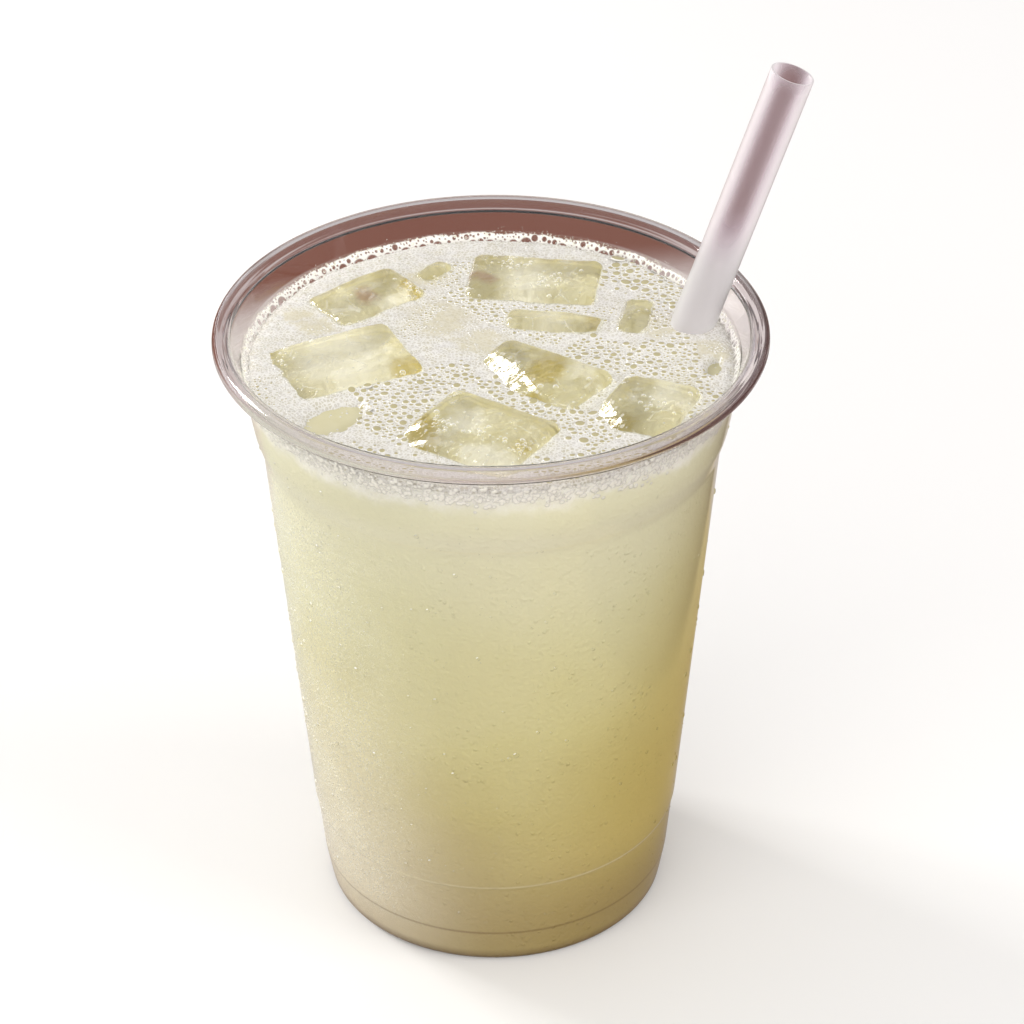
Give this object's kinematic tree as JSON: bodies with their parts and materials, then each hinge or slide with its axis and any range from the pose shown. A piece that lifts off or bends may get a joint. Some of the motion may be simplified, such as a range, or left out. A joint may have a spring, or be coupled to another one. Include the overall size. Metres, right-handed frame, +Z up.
{
  "type": "iced drink in a cup",
  "caption": "Clear plastic takeaway cup of cloudy iced sugarcane juice with froth, ice and a wide drinking straw; it stands on its flat base.",
  "frame": {"origin": "middle of the cup's flat underside", "axes": "+Z up along the cup's axis, +X towards the side that the straw leans to, +Y towards the back"},
  "size_m": [0.1049, 0.098, 0.162],
  "materials": {
    "clear_plastic": "clear, thin and glossy",
    "milky_plastic": "milky and half clear",
    "cane_juice": "cloudy pale yellow-green liquid",
    "froth": "fine wet bubbles",
    "ice": "wet, partly milky"
  },
  "bodies": {
    "root": {"cup": "clear_plastic", "straw": "milky_plastic", "juice": "cane_juice", "froth": "froth", "ice_left": "ice", "ice_back_left": "ice", "ice_back": "ice", "ice_middle": "ice", "ice_centre": "ice", "ice_front": "ice", "ice_right": "ice", "ice_by_straw": "ice", "ice_back_gap": "ice"}
  },
  "joints": []
}
